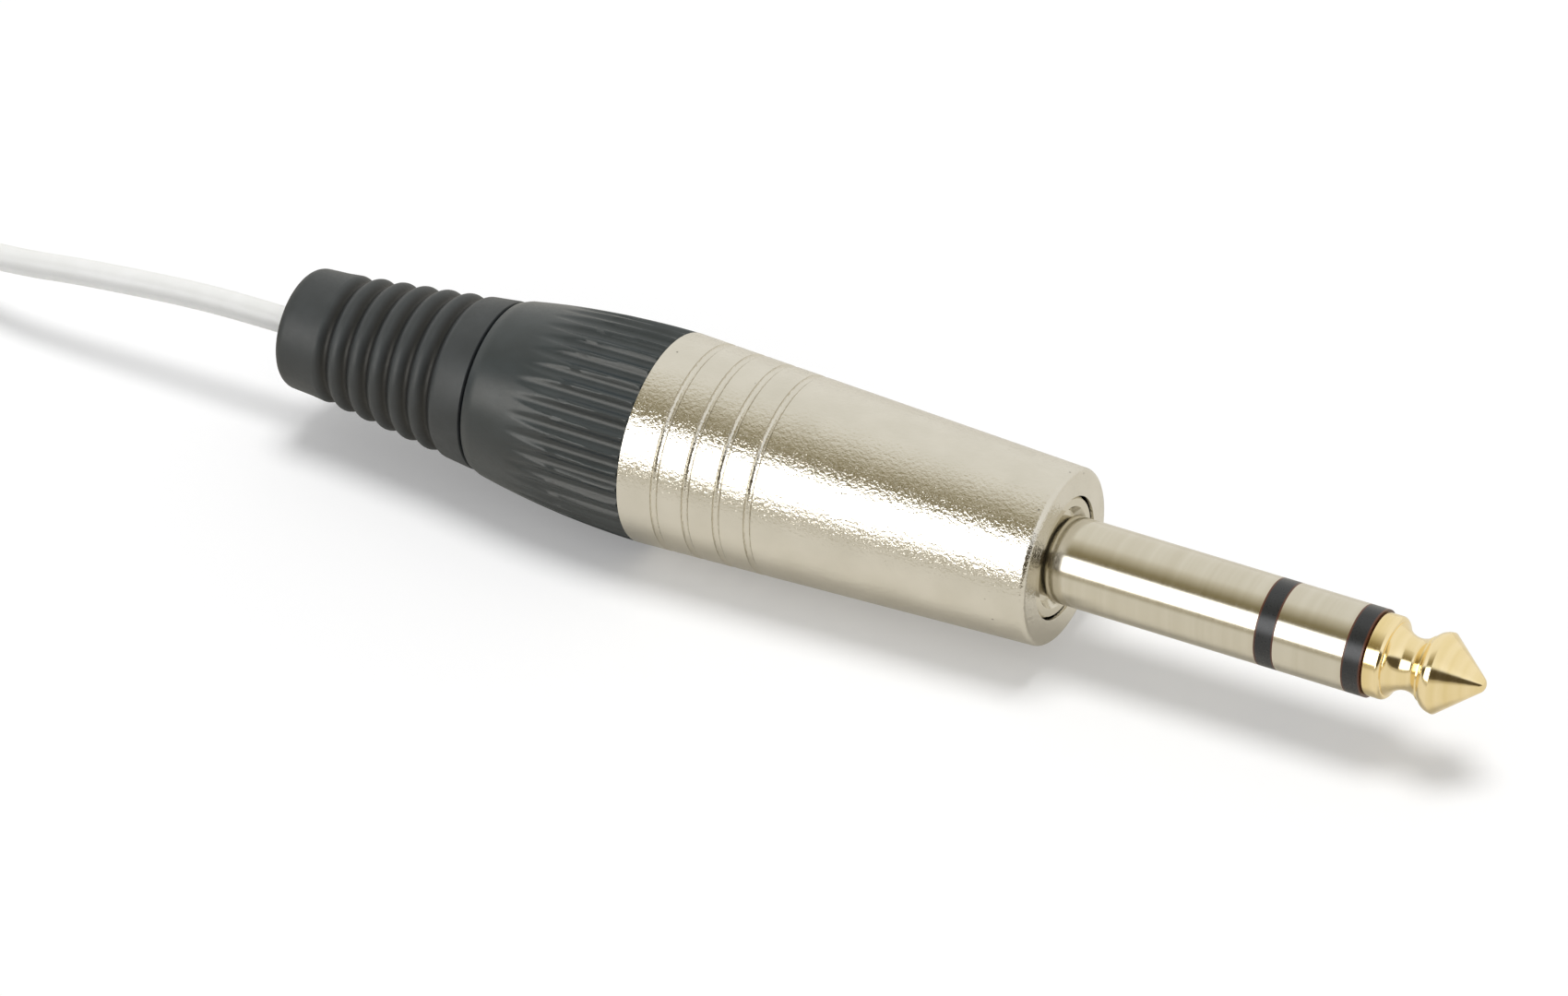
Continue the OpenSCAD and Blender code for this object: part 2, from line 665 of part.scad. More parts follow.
function boot_r(x) = x > boot_rear + boot_collar_len
    ? (boot_waist_d + (boot_front_d - boot_waist_d) * (x - boot_rear - boot_collar_len)
        / (boot_len - boot_collar_len)) / 2
    : boot_waist_d / 2;

module boot() {
    color("#3f4245") turned() difference() {
        polygon([
            [snap_x + snap_t, 0], [snap_x + snap_t, snap_d / 2 - 0.4], [snap_x + snap_t - 0.8, snap_d / 2],
            [snap_x, snap_d / 2], [snap_x, boot_neck_d / 2], [boot_front, boot_neck_d / 2],
            [boot_front, boot_front_d / 2 - 0.15], [boot_front - 0.2, boot_front_d / 2],
            [boot_rear + boot_collar_len, boot_waist_d / 2], [boot_rear, boot_rear_d / 2], [boot_rear, 0]
        ]);
        rear_corner(boot_rear, boot_rear_d / 2 + 0.05, boot_edge_r);
        for (i = [0:boot_grooves - 1]) {
            x = boot_rear + boot_groove_at + i * boot_groove_pitch;
            translate([x, boot_r(x) + boot_groove_r - boot_groove_depth])
                circle(r = boot_groove_r, $fn = 48);
        }
        polygon([
            [snap_x + snap_t + past, 0], [snap_x + snap_t + past, boot_bore_d / 2],
            [boot_front - 2, boot_bore_d / 2], [boot_rear + cord_hole_len, cord_hole_d / 2 + 0.5],
            [boot_rear + cord_hole_len, cord_hole_d / 2], [boot_rear - past, cord_hole_d / 2],
            [boot_rear - past, 0]
        ]);
    }
}

module far_plug() {
    translate([far_x, far_y, 0]) rotate([0, 0, 180]) children();
}

module cord_run() {
    color("#ecebe6") swept(run_route, cord_d / 2);
}

module cord_tail() {
    color("#ecebe6") swept(tail_route, cord_d / 2);
}

module hank() {
    color("#ecebe6") translate([0, 0, hank_low]) linear_extrude(hank_high - hank_low) difference() {
        union() {
            for (x = [hank_x, hank_x - fold_len]) translate([x, 0]) circle(r = hank_half, $fn = 64);
            translate([hank_x - fold_len, -hank_half]) square([fold_len, 2 * hank_half]);
        }
        for (side = [-1, 1])
            translate([hank_x - fold_len / 2, side * (waist_half + waist_r)]) circle(r = waist_r, $fn = 180);
    }
}

module hank_tie() {
    inner_w = 2 * waist_half + 0.3;
    outer_w = inner_w + 2 * tie_t;
    color("#2e2f31") translate([hank_x - fold_len / 2 - tie_w / 2, 0, 0])
        rotate([90, 0, 90]) linear_extrude(tie_w) difference() {
            union() {
                for (y = [-1, 1]) for (z = [hank_low, hank_high])
                    translate([y * inner_w / 2, z]) circle(r = tie_t, $fn = 32);
                translate([-inner_w / 2, hank_low - tie_t])
                    square([inner_w, hank_high - hank_low + 2 * tie_t]);
                translate([-outer_w / 2, hank_low]) square([outer_w, hank_high - hank_low]);
            }
            translate([-inner_w / 2, hank_low]) square([inner_w, hank_high - hank_low]);
        }
}

tip_contact();
tip_insulator();
ring_contact();
ring_insulator();
sleeve_contact();
sleeve_lug();
ring_washer();
ring_lug();
tip_washer();
tip_lug();
tip_solder();
ring_solder();
shield_solder();
tip_core();
ring_core();
shield_drain();
cord_jacket();
liner();
jaws();
shell();
nut();
boot();
far_plug() tip_contact();  // far_tip_contact
far_plug() tip_insulator();  // far_tip_insulator
far_plug() ring_contact();  // far_ring_contact
far_plug() ring_insulator();  // far_ring_insulator
far_plug() sleeve_contact();  // far_sleeve_contact
far_plug() sleeve_lug();  // far_sleeve_lug
far_plug() ring_washer();  // far_ring_washer
far_plug() ring_lug();  // far_ring_lug
far_plug() tip_washer();  // far_tip_washer
far_plug() tip_lug();  // far_tip_lug
far_plug() tip_solder();  // far_tip_solder
far_plug() ring_solder();  // far_ring_solder
far_plug() shield_solder();  // far_shield_solder
far_plug() tip_core();  // far_tip_core
far_plug() ring_core();  // far_ring_core
far_plug() shield_drain();  // far_shield_drain
far_plug() cord_jacket();  // far_cord_jacket
far_plug() liner();  // far_liner
far_plug() jaws();  // far_jaws
far_plug() shell();  // far_shell
far_plug() nut();  // far_nut
far_plug() boot();  // far_boot
cord_run();
hank();
cord_tail();
hank_tie();
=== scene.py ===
# %% [markdown]
# # A jack plug lead, dressed for a studio picture
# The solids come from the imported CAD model, in metres, and they already have their true shapes
# and sizes. This lesson adds what CAD leaves out: the camera, the cord as one long soft tube,
# the light of a small studio, and a finish for each material that the real lead is made of.
# Loading the frame first means that every later piece can be placed by the CAD's own numbers.

# %% Load the frame
import json
import math

import bmesh
import bpy
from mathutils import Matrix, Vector


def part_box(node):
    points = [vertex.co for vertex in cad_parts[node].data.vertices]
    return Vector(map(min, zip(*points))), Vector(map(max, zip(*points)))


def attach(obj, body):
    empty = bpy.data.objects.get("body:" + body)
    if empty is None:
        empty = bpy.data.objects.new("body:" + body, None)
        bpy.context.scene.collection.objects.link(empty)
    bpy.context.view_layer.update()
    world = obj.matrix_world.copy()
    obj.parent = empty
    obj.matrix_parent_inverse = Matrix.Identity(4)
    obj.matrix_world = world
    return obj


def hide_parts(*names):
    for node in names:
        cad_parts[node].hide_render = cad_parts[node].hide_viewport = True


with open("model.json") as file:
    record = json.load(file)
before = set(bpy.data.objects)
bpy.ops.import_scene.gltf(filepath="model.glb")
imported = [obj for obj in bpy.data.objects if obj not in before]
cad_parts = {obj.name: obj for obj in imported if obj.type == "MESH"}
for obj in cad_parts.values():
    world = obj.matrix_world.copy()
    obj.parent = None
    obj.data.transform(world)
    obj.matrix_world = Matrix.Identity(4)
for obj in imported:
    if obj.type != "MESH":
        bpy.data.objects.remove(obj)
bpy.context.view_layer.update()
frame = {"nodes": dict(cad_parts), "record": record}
scene = bpy.context.scene
scene.view_settings.view_transform = "Standard"
MM = 0.001

# %% [markdown]
# ## The camera
# The photograph was taken from the side and from above, with a long lens. A long lens far away
# keeps the plug's sides nearly parallel, as they are in the picture. The camera could be aimed
# with a constraint, but plain numbers from the photograph's perspective are easier to check:
# two angles give its direction, and two shifts in its own plane put the plug where it belongs.

# %% Camera
AZIMUTH, ELEVATION = math.radians(28.2), math.radians(34.8)
DISTANCE = 600 * MM
LENS, SENSOR = 196.7, 36.0
PLUG_RIGHT, PLUG_DOWN = 19.67 * MM, 4.21 * MM

look = Vector((
    -math.sin(AZIMUTH) * math.cos(ELEVATION),
    math.cos(AZIMUTH) * math.cos(ELEVATION),
    -math.sin(ELEVATION),
))
right = Vector((math.cos(AZIMUTH), math.sin(AZIMUTH), 0))
up = right.cross(look)
camera_data = bpy.data.cameras.new("product_camera")
camera_data.lens = LENS
camera_data.sensor_width = SENSOR
camera_data.clip_start, camera_data.clip_end = 0.05, 20
camera = bpy.data.objects.new("product_camera", camera_data)
camera.location = -PLUG_RIGHT * right + PLUG_DOWN * up - DISTANCE * look
camera.rotation_mode = "QUATERNION"
camera.rotation_quaternion = look.to_track_quat("-Z", "Y")
scene.collection.objects.link(camera)
scene.camera = camera
print("camera at", [round(v, 3) for v in camera.location], "lens", LENS)

# %% [markdown]
# ## The cord's line
# The cord is 2 mm thick and 0.9 m long, and limp. It leaves the boot straight, sinks to the
# table, and then all its spare length is folded into a hank behind the plug, as it would be
# packed. The hank is wound two lanes wide and four layers high. A simulation could drop the
# cord, but a wound hank has an order that is easy to write: each turn runs down one side,
# round the far fold, back on the other side and round the near fold. While it does so it
# moves from its own place in the stack to the next one. Each turn moves a little earlier
# along the track than the turn under it, so that a place is empty before the cord enters it.

# %% The cord's line
def corners(node):
    """A node's lowest and highest corner, in millimetres."""
    low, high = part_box(node)
    return [round(v / MM, 3) for v in low], [round(v / MM, 3) for v in high]


CORD_D = 2.0
LANE_PITCH = 2.05
hank_low, hank_high = corners("hank")
BOOT_END = corners("boot")[0][0]
FAR_X = corners("far_shell")[0][0]
FAR_PLUG_Y = 1.1
LANES = (hank_high[1] - CORD_D / 2, hank_high[1] - CORD_D / 2 - LANE_PITCH)
WAIST = (1.5 * LANE_PITCH, 0.5 * LANE_PITCH)
LAYERS = [hank_low[2] + CORD_D * (layer + 0.5) for layer in range(4)]
NEAR_FOLD, FAR_FOLD = hank_high[0] - hank_high[1], hank_low[0] + hank_high[1]
TAIL_REACH = FAR_FOLD - (FAR_X - BOOT_END)


def smooth(t):
    t = min(max(t, 0.0), 1.0)
    return t * t * (3 - 2 * t)


def between(a, b, t):
    return a + (b - a) * t


def through(points, steps):
    """A smooth line through the points, with some steps from each one to the next."""
    line = []
    for i in range(len(points) - 1):
        p0, p1 = points[max(i - 1, 0)], points[i]
        p2, p3 = points[i + 1], points[min(i + 2, len(points) - 1)]
        for k in range(steps):
            t = k / steps
            line.append(tuple(
                0.5 * (2 * b + (c - a) * t + (2 * a - 5 * b + 4 * c - d) * t * t
                       + (3 * b - a - 3 * c + d) * t ** 3)
                for a, b, c, d in zip(p0, p1, p2, p3)
            ))
    return line + [tuple(points[-1])]


RUN_STEPS = (
    (0, 0, 0), (3.5, 0, 0), (7.5, 0, 0.015), (11.5, 0, 0.06), (15.5, 0, 0.125), (19.5, 0, 0.2),
    (23.5, 0.01, 0.3), (27.5, 0.07, 0.41), (31.5, 0.2, 0.53), (35.5, 0.39, 0.66),
    (39.5, 0.61, 0.78), (43.5, 0.81, 0.89), (47.5, 0.94, 0.97), (51.5, 1, 1),
)
TAIL_STEPS = (
    (0, 0, 0.4), (0.15, 0.08, 0.4), (0.3, 0.28, 0.5), (0.44, 0.56, 0.6), (0.56, 0.78, 0.5),
    (0.67, 0.93, 0.3), (0.78, 1, 0.1), (0.89, 1, 0), (1, 1, 0),
)
run = through([(BOOT_END - s, side * LANES[0], down * LAYERS[0]) for s, side, down in RUN_STEPS], 5)
tail = through(
    [(FAR_FOLD - s * TAIL_REACH, between(LANES[0], FAR_PLUG_Y, side), rise * LAYERS[-1] / 0.4)
     for s, side, rise in TAIL_STEPS], 4)

# Places in the stack, in the order in which the cord fills them
PLACES = [(0, 0), (1, 0), (1, 1), (0, 1), (0, 2), (1, 2), (1, 3), (0, 3)]
MOVE_LENGTH, MOVE_LEAD, LAST_MOVE = 0.11, 0.062, 0.5
STRAIGHT, FOLD = 0.3, 0.2
POINTS_A_TURN = 72


def on_track(share, lane, waist):
    """Where a turn is after this share of its way round, for a lane this far from the middle."""
    side = 1 if share < 0.5 else -1
    part = share % 0.5
    if part < STRAIGHT:
        along = part / STRAIGHT
        pinch = (1 + math.cos(2 * math.pi * along)) / 2
        x = between(NEAR_FOLD, FAR_FOLD, along if side > 0 else 1 - along)
        return x, side * between(waist, lane, pinch)
    angle = math.pi * (part - STRAIGHT) / FOLD
    centre = FAR_FOLD if side > 0 else NEAR_FOLD
    return centre - side * lane * math.sin(angle), side * lane * math.cos(angle)


winding = []
turns = len(PLACES) - 1
last = int((turns + STRAIGHT) * POINTS_A_TURN)
for i in range(1, last):
    turn, share = divmod(i / POINTS_A_TURN, 1)
    turn = int(turn)
    start = LAST_MOVE + (turns - 1 - turn) * MOVE_LEAD
    move = smooth((share - start) / MOVE_LENGTH) if turn < turns else 0
    here, there = PLACES[turn], PLACES[min(turn + 1, turns)]
    lane = between(LANES[here[0]], LANES[there[0]], move)
    waist = between(WAIST[here[0]], WAIST[there[0]], move)
    x, y = on_track(share, lane, waist)
    winding.append((x, y, between(LAYERS[here[1]], LAYERS[there[1]], move)))

cord_line = [Vector(p) * MM for p in run + winding + tail]

# %% [markdown]
# ## The cord itself
# A curve with a round bevel is the natural tool for a cord: its own line stays the centreline,
# so its real length can be measured. Each point's own radius holds the thickness, because a
# curve's box counts those radii.

# %% The cord itself
cord_curve = bpy.data.curves.new("white_cord", "CURVE")
cord_curve.dimensions = "3D"
cord_curve.bevel_depth = 1.0
cord_curve.bevel_resolution = 5
cord_curve.use_fill_caps = True
spline = cord_curve.splines.new("POLY")
spline.points.add(len(cord_line) - 1)
for point, place in zip(spline.points, cord_line):
    point.co = (*place, 1)
    point.radius = CORD_D / 2 * MM
spline.use_smooth = True
white_cord = bpy.data.objects.new("white_cord", cord_curve)
scene.collection.objects.link(white_cord)
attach(white_cord, "root")
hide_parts("cord_run", "hank", "cord_tail")

# %% [markdown]
# ## Pieces turned round the plug's axis
# The nut and the boot are moulded, and every edge on them is soft. Their CAD solids have the
# right form with crisp edges. A bevel modifier works badly on such dense meshes, so these two are
# made again here from the same sizes: an outline goes round the axis, ring by ring, and a
# small function pushes each point in or out. The same mesh serves both plugs.


# %% Turning an outline
def turned_mesh(name, outline, around, push=None):
    """Turns a closed outline of (station, radius) in mm round the axis. push moves points outwards."""
    bm = bmesh.new()
    rings = []
    for x, r in outline:
        ring = []
        for k in range(around):
            angle = 2 * math.pi * k / around
            out = r + (push(x, r, angle) if push else 0)
            ring.append(bm.verts.new((x * MM, out * math.cos(angle) * MM, out * math.sin(angle) * MM)))
        rings.append(ring)
    for i, ring in enumerate(rings):
        before = rings[i - 1]
        for k in range(around):
            bm.faces.new((before[k - 1], before[k], ring[k], ring[k - 1]))
    bmesh.ops.recalc_face_normals(bm, faces=bm.faces)
    mesh = bpy.data.meshes.new(name)
    bm.to_mesh(mesh)
    bm.free()
    mesh.shade_smooth()
    mesh.set_sharp_from_angle(angle=math.radians(45))
    return mesh


def on_both_plugs(mesh, node):
    """Puts a piece on the near plug and, turned about, on the far one, in place of the CAD's."""
    pieces = []
    for end, place, turn in (("", (0, 0, 0), 0), ("far_", (FAR_X * MM, FAR_PLUG_Y * MM, 0), math.pi)):
        piece = bpy.data.objects.new(end + mesh.name, mesh if end == "" else mesh.copy())
        piece.location = place
        piece.rotation_euler.z = turn
        scene.collection.objects.link(piece)
        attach(piece, end + node)
        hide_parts(end + node)
        pieces.append(piece)
    print(mesh.name, "faces:", len(mesh.polygons))
    return pieces


# %% [markdown]
# ## The fluted nut
# The real nut is a barrel that closes in a dome, with 36 hollows run along it by the mould.
# They are deepest at the shell and die out on the dome. Cutting 36 cylinders with booleans
# would leave sharp, uneven edges. Here each ring's points are pushed in where a hollow is,
# and the edge of the hollow is eased, as plastic shrinks a little in the mould. The thread on
# the spigot is a wave that climbs one pitch with each turn.

# %% The fluted nut
nut_low, nut_high = corners("nut")
NUT_FRONT = corners("shell")[0][0] - 0.1
NUT_REAR = nut_low[0]
NUT_FRONT_R, NUT_REAR_R, BARREL_R = 7.79, 6.3, 70.0
DOME_R, DOME_AT = 11.0, 4.5
FLUTES, FLUTE_R, FLUTE_DEPTH, FLUTE_SLOPE = 36, 0.58, 0.45, math.radians(1.2)
FLUTE_EASE = 0.15
SPIGOT_R, SPIGOT_FRONT, SPIGOT_BORE_R = 5.95, nut_high[0], 4.9
THREAD_PITCH, THREAD_HEIGHT = 1.0, 0.2
PER_FLUTE = 10


def nut_radius(x):
    """The barrel's long curve, or the dome's where that is lower."""
    barrel = NUT_FRONT_R - BARREL_R + math.sqrt(BARREL_R ** 2 - (x - NUT_FRONT) ** 2)
    dome_x = NUT_REAR + DOME_AT
    if x > dome_x - 1:
        return barrel
    dome_y = NUT_REAR_R - math.sqrt(DOME_R ** 2 - DOME_AT ** 2)
    return min(barrel, dome_y + math.sqrt(DOME_R ** 2 - (x - dome_x) ** 2))


def nut_push(x, r, angle):
    """How far a point of the nut moves out: the thread's wave, or minus a flute's depth."""
    if x > NUT_FRONT + 0.2:
        if abs(r - SPIGOT_R) > 0.01:
            return 0
        ease = smooth((x - NUT_FRONT - 0.2) / 0.8) * smooth((SPIGOT_FRONT - 0.2 - x) / 0.5)
        wave = 0.5 + 0.5 * math.cos(2 * math.pi * x / THREAD_PITCH - angle)
        return THREAD_HEIGHT * wave * ease
    spacing = 2 * math.pi / FLUTES
    off = (angle % spacing) - spacing / 2
    centre = NUT_FRONT_R - FLUTE_DEPTH + FLUTE_R - (NUT_FRONT + 0.5 - x) * math.tan(FLUTE_SLOPE)
    across = centre * math.sin(off)
    if abs(across) >= FLUTE_R:
        return 0
    over = r - centre * math.cos(off) + math.sqrt(FLUTE_R ** 2 - across ** 2)
    return -max((over + math.sqrt(over ** 2 + FLUTE_EASE ** 2) - FLUTE_EASE) / 2, 0)


OUTER_STEPS, THREAD_STEPS = 36, 48
outer = [NUT_REAR + (NUT_FRONT - 0.15 - NUT_REAR) * (i / OUTER_STEPS) ** 1.3 for i in range(OUTER_STEPS + 1)]
outer = [x for x in outer if x > NUT_REAR + 0.1]
thread = [between(NUT_FRONT + 0.25, SPIGOT_FRONT - 0.2, i / THREAD_STEPS) for i in range(THREAD_STEPS + 1)]
lip_x, pocket_x = NUT_REAR + 1.5, NUT_REAR + 4.2
nut_outline = (
    [(NUT_REAR, 4.9), (NUT_REAR, NUT_REAR_R - 0.15), (NUT_REAR + 0.05, NUT_REAR_R - 0.04)]
    + [(x, nut_radius(x)) for x in outer]
    + [(NUT_FRONT - 0.05, NUT_FRONT_R - 0.04), (NUT_FRONT, NUT_FRONT_R - 0.15), (NUT_FRONT, SPIGOT_R)]
    + [(x, SPIGOT_R) for x in thread]
    + [(SPIGOT_FRONT, SPIGOT_R - 0.2), (SPIGOT_FRONT, SPIGOT_BORE_R), (pocket_x + 4.6, SPIGOT_BORE_R),
       (pocket_x + 1.6, 3.7), (pocket_x, 3.7), (pocket_x, 5.65), (lip_x, 5.65), (lip_x, 4.9)]
)
nut_pieces = on_both_plugs(turned_mesh("fluted_nut", nut_outline, FLUTES * PER_FLUTE, nut_push), "nut")

# %% [markdown]
# ## The ribbed boot
# The boot is a soft moulding that bends with the cord: a cone with six grooves and a plain
# collar. Its ribs have no edges at all. A cosine makes a groove that runs into its ribs
# without an edge, and raising it to a power narrows the groove and broadens the rib.

# %% The ribbed boot
BOOT_FRONT = NUT_REAR - 0.1
WAIST_R, BOOT_FRONT_R, BOOT_REAR_R, COLLAR = 4.65, 6.35, 4.5, 2.5
GROOVES, GROOVE_AT, GROOVE_PITCH, GROOVE_DEPTH, GROOVE_POWER = 6, 4.4, 1.8, 0.48, 1.15
EDGE_R = 0.9


def boot_cone(x):
    """The boot's outer radius with no grooves."""
    along = (x - BOOT_END - COLLAR) / (BOOT_FRONT - BOOT_END - COLLAR)
    if along < 0:
        return between(BOOT_REAR_R, WAIST_R, (x - BOOT_END) / COLLAR)
    return between(WAIST_R, BOOT_FRONT_R, along)


def groove_share(x):
    """1 in the middle of a groove, 0 on the ribs and the plain ends."""
    place = (x - BOOT_END - GROOVE_AT) / GROOVE_PITCH
    if not -0.5 < place < GROOVES - 0.5:
        return 0
    return math.cos(math.pi * (place - round(place))) ** (2 * GROOVE_POWER)


STEPS_A_RIB = 16
rib_steps = GROOVES * STEPS_A_RIB
ribs_x = [BOOT_END + GROOVE_AT + GROOVE_PITCH * (i / STEPS_A_RIB - 0.5) for i in range(rib_steps + 1)]
corner = [math.radians(a) for a in range(90, -1, -10)]
boot_outline = (
    [(BOOT_END, 1.3)]
    + [(BOOT_END + EDGE_R * (1 - math.sin(a)), BOOT_REAR_R + 0.05 - EDGE_R * (1 - math.cos(a))) for a in corner]
    + [(x, boot_cone(x)) for x in (BOOT_END + 1.6, BOOT_END + COLLAR)]
    + [(x, boot_cone(x) - GROOVE_DEPTH * groove_share(x)) for x in ribs_x]
    + [(x, boot_cone(x)) for x in (BOOT_FRONT - 1.4, BOOT_FRONT - 0.35)]
    + [(BOOT_FRONT - 0.1, BOOT_FRONT_R - 0.06), (BOOT_FRONT, BOOT_FRONT_R - 0.22), (BOOT_FRONT, 4.6),
       (lip_x + 0.2, 4.6), (lip_x + 0.2, 5.3), (lip_x + 0.8, 5.3), (lip_x + 1.6, 4.9), (lip_x + 1.6, 3.1),
       (BOOT_FRONT - 2, 3.1), (BOOT_END + 4, 1.8), (BOOT_END + 4, 1.3)]
)
boot_pieces = on_both_plugs(turned_mesh("ribbed_boot", boot_outline, 128), "boot")

# %% [markdown]
# ## The hook-and-loop tie
# A strap goes once round the hank and sticks to itself. It is one long strip of faces along
# its middle line, and a solidify modifier gives it its thickness. The strip starts under its
# own end, so the overlap shows as it does on a real tie.

# %% The tie
TIE_W, TIE_T, TIE_CORNER = 5.0, 0.5, 0.6
tie_low, tie_high = corners("hank_tie")
half_y = tie_high[1] - TIE_T / 2
low_z, high_z = tie_low[2] + TIE_T / 2, tie_high[2] - TIE_T / 2
strip_line = [(1.5, high_z), (-half_y + TIE_CORNER, high_z)]
for centre_y, centre_z, first in (
    (-half_y + TIE_CORNER, high_z - TIE_CORNER, 90), (-half_y + TIE_CORNER, low_z + TIE_CORNER, 180),
    (half_y - TIE_CORNER, low_z + TIE_CORNER, 270), (half_y - TIE_CORNER, high_z - TIE_CORNER, 0),
):
    for step in range(0, 91, 15):
        angle = math.radians(first + step)
        strip_line.append((centre_y + TIE_CORNER * math.cos(angle), centre_z + TIE_CORNER * math.sin(angle)))
strip_line += [(2.4, high_z + 0.05), (1.4, high_z + TIE_T), (0, high_z + TIE_T), (-2.6, high_z + TIE_T + 0.05)]
tie_x = (tie_low[0] + tie_high[0]) / 2
bm = bmesh.new()
sides = [[bm.verts.new(((tie_x + w * TIE_W / 2) * MM, y * MM, z * MM)) for w in (-1, 1)] for y, z in strip_line]
for (a, b), (c, d) in zip(sides, sides[1:]):
    bm.faces.new((a, b, d, c))
tie_mesh = bpy.data.meshes.new("tie_strap")
bm.to_mesh(tie_mesh)
bm.free()
tie_mesh.shade_smooth()
tie_strap = bpy.data.objects.new("tie_strap", tie_mesh)
scene.collection.objects.link(tie_strap)
thick = tie_strap.modifiers.new("thickness", "SOLIDIFY")
thick.thickness = (TIE_T - 0.06) * MM
thick.offset = 0
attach(tie_strap, "root")
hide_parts("hank_tie")
print("tie strap points:", len(strip_line))

# %% [markdown]
# ## Helpers for finishes
# Every finish below is a little network of nodes. One function adds a node with its settings
# and its links, and one turns a colour written as on a paint card into the linear numbers
# that Blender's shaders work with.


# %% Helpers for finishes
def colour(code):
    """Linear colour from sRGB hex digits."""
    parts = [int(code[i:i + 2], 16) / 255 for i in (1, 3, 5)]
    return (*[c / 12.92 if c <= 0.04045 else ((c + 0.055) / 1.055) ** 2.4 for c in parts], 1)


def add(tree, kind, inputs=None, stops=None, **settings):
    """Adds a node. An input is a fixed value, or a socket that is linked in. A ramp has stops."""
    node = tree.nodes.new(kind)
    for name, value in settings.items():
        setattr(node, name, value)
    for socket, value in (inputs or {}).items():
        if isinstance(value, bpy.types.NodeSocket):
            tree.links.new(value, node.inputs[socket])
        else:
            node.inputs[socket].default_value = value
    for i, (place, tone) in enumerate(stops or ()):
        element = node.color_ramp.elements[i] if i < 2 else node.color_ramp.elements.new(place)
        element.position = place
        element.color = colour(tone) if isinstance(tone, str) else (tone, tone, tone, 1)
    return node


def new_finish(name):
    """An empty material, its output, and the place of each point in millimetres."""
    material = bpy.data.materials.new(name)
    material.use_nodes = True
    tree = material.node_tree
    tree.nodes.clear()
    output = add(tree, "ShaderNodeOutputMaterial")
    place = add(tree, "ShaderNodeTexCoord")
    in_mm = add(tree, "ShaderNodeVectorMath", {0: place.outputs["Object"], 1: (1000, 1000, 1000)},
                operation="MULTIPLY")
    return material, tree, output, in_mm.outputs[0]


def near_middle(low, high):
    """Limits that turn the middle of a noise, where nearly all of it lies, into low to high."""
    return {"From Min": 0.3, "From Max": 0.7, "To Min": low, "To Max": high}


print("helpers ready")

# %% [markdown]
# ## Nickel plate, satin and pebbled: the shell
# The shell is a zinc die casting, tumbled and plated with nickel. Nickel is a slightly warm
# white metal. The tumbling leaves shallow dimples of about a quarter of a millimetre, which
# break the edges of every reflection into sparkles, and a few tiny pinholes, each also painted
# a darker grey in the colour as painted shade in it.


# %% Nickel shell
def nickel_shell():
    material, tree, output, in_mm = new_finish("nickel_plated_casting")
    dimples = add(tree, "ShaderNodeTexNoise",
                  {"Vector": in_mm, "Scale": 3.6, "Detail": 2.0, "Roughness": 0.6}).outputs["Fac"]
    fine = add(tree, "ShaderNodeTexNoise",
               {"Vector": in_mm, "Scale": 9.0, "Detail": 2.0, "Roughness": 0.6}).outputs["Fac"]
    cloud = add(tree, "ShaderNodeTexNoise", {"Vector": in_mm, "Scale": 0.35, "Detail": 3.0}).outputs["Fac"]
    cells = add(tree, "ShaderNodeTexVoronoi", {"Vector": in_mm, "Scale": 0.47}).outputs["Distance"]
    pit = add(tree, "ShaderNodeValToRGB", {"Fac": cells}, [(0.025, 0.0), (0.05, 1.0)]).outputs["Color"]
    tint = add(tree, "ShaderNodeValToRGB", {"Fac": cloud}, [(0.3, "#DAD6CB"), (0.7, "#E1DDD3")]).outputs["Color"]
    # Painted shade: the colour turns a darker grey in each pinhole.
    base = add(tree, "ShaderNodeMix", {0: pit, 6: colour("#A09C92"), 7: tint}, data_type="RGBA").outputs[2]
    rough = add(tree, "ShaderNodeMapRange", {"Value": fine, **near_middle(0.11, 0.17)}).outputs[0]
    dimpled = add(tree, "ShaderNodeBump", {"Height": dimples, "Strength": 1.0, "Distance": 0.05 * MM}).outputs[0]
    grainy = add(tree, "ShaderNodeBump",
                 {"Height": fine, "Strength": 1.0, "Distance": 0.013 * MM, "Normal": dimpled}).outputs[0]
    pitted = add(tree, "ShaderNodeBump",
                 {"Height": pit, "Strength": 0.5, "Distance": 0.03 * MM, "Normal": grainy}).outputs[0]
    shader = add(tree, "ShaderNodeBsdfPrincipled",
                 {"Base Color": base, "Metallic": 1.0, "Roughness": rough, "Normal": pitted})
    tree.links.new(shader.outputs[0], output.inputs["Surface"])
    return material


# %% [markdown]
# ## Turned and plated: the shaft and the tip
# The contacts are turned from brass rod on a lathe and plated, the shaft with nickel and the
# tip with a pale gold. The tool leaves rings round the work, far finer than a millimetre.
# They are drawn at about 0.15 mm, as coarse as they need to be to show. The noise is
# stretched: tight along the axis and very long round it. The tip is polished, so its rings
# are fainter and it mirrors the studio in clear bands.


